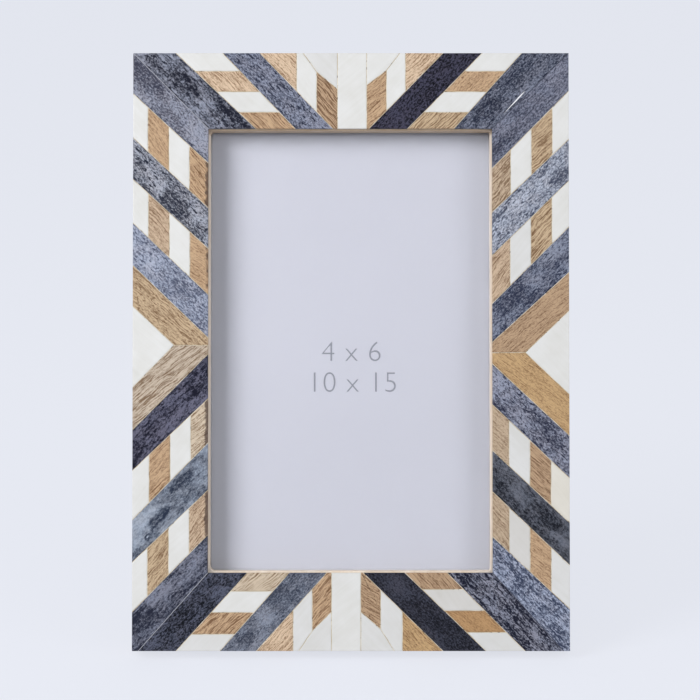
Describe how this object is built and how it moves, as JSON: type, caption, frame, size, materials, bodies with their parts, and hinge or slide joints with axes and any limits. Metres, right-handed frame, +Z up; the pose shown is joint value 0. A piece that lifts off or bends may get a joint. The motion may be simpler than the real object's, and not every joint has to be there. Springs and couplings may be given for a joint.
{
  "type": "picture frame",
  "caption": "Table-top picture frame for a 4 x 6 in print, with a chevron mosaic face of dyed and white bone and wood, on a fold-out easel leg.",
  "frame": {"origin": "on the table, under the middle of the part's footprint as it stands", "axes": "+X to the right of someone who looks at the face, +Y to the back, +Z up; the face looks along -Y and leans back 14 degrees"},
  "size_m": [0.146, 0.068, 0.1974],
  "materials": {
    "dyed_bone": "polished camel bone dyed grey-blue, cloudy and streaked",
    "white_bone": "polished undyed bone",
    "tile_wood": "sanded hardwood, lacquered satin",
    "filler": "sanded resin filler",
    "frame_wood": "sanded wood, sealed",
    "glass": "clear float glass",
    "paper": "coated print paper",
    "flocking": "black flock on board",
    "ribbon": "black grosgrain ribbon",
    "steel": "nickel-plated stamped steel",
    "brass": "brass-plated steel"
  },
  "bodies": {
    "frame": {"left_bone_strip_1": "dyed_bone", "left_bone_strip_2": "dyed_bone", "left_bone_strip_3": "dyed_bone", "left_bone_strip_4": "dyed_bone", "left_bone_strip_5": "dyed_bone", "left_bone_strip_6": "dyed_bone", "right_bone_strip_1": "dyed_bone", "right_bone_strip_2": "dyed_bone", "right_bone_strip_3": "dyed_bone", "right_bone_strip_4": "dyed_bone", "right_bone_strip_5": "dyed_bone", "right_bone_strip_6": "dyed_bone", "top_bone_strip_1": "dyed_bone", "top_bone_strip_2": "dyed_bone", "top_bone_strip_3": "dyed_bone", "top_bone_strip_4": "dyed_bone", "bottom_bone_strip_1": "dyed_bone", "bottom_bone_strip_2": "dyed_bone", "bottom_bone_strip_3": "dyed_bone", "bottom_bone_strip_4": "dyed_bone", "left_wood_arm_upper": "tile_wood", "left_wood_arm_lower": "tile_wood", "right_wood_arm_upper": "tile_wood", "right_wood_arm_lower": "tile_wood", "left_bone_triangle": "white_bone", "right_bone_triangle": "white_bone", "left_bone_tiles": "white_bone", "right_bone_tiles": "white_bone", "top_bone_tiles": "white_bone", "bottom_bone_tiles": "white_bone", "left_wood_tiles": "tile_wood", "right_wood_tiles": "tile_wood", "top_wood_tiles": "tile_wood", "bottom_wood_tiles": "tile_wood", "resin_filler": "filler", "front_board": "frame_wood", "left_rail": "frame_wood", "right_rail": "frame_wood", "top_rail": "frame_wood", "bottom_rail": "frame_wood", "glass_pane": "glass", "photo_insert": "paper", "backing_board": "flocking", "ribbon_stay": "ribbon", "hinge_board_leaf": "steel", "hinge_pin": "steel", "board_rivets": "steel", "turn_button_screws": "brass", "hanger_strap": "brass", "hanger_screw": "brass"},
    "leg": {"easel_leg": "flocking", "hinge_leg_leaf": "steel", "leg_rivets": "steel"},
    "ring": {"hanger_ring": "brass"},
    "button_1": {"turn_button_1": "brass"},
    "button_2": {"turn_button_2": "brass"},
    "button_3": {"turn_button_3": "brass"},
    "button_4": {"turn_button_4": "brass"}
  },
  "joints": [
    {"name": "leg_fold", "type": "hinge", "parent": "frame", "child": "leg", "pos_m": [-0.00025, 0.00948, 0.11416], "axis": [-1, 0, 0], "range_deg": [0, 25], "deforming": ["ribbon_stay"]},
    {"name": "ring_swing", "type": "hinge", "parent": "frame", "child": "ring", "pos_m": [-0.00025, 0.02794, 0.18737], "axis": [1, 0, 0], "range_deg": [-5, 160]},
    {"name": "button_1_turn", "type": "hinge", "parent": "frame", "child": "button_1", "pos_m": [-0.05725, 0.01468, 0.1379], "axis": [0, 0.9703, -0.2419], "continuous": true},
    {"name": "button_2_turn", "type": "hinge", "parent": "frame", "child": "button_2", "pos_m": [-0.05725, -0.00564, 0.0564], "axis": [0, 0.9703, -0.2419], "continuous": true},
    {"name": "button_3_turn", "type": "hinge", "parent": "frame", "child": "button_3", "pos_m": [0.05675, 0.01468, 0.1379], "axis": [0, 0.9703, -0.2419], "continuous": true},
    {"name": "button_4_turn", "type": "hinge", "parent": "frame", "child": "button_4", "pos_m": [0.05675, -0.00564, 0.0564], "axis": [0, 0.9703, -0.2419], "continuous": true}
  ]
}
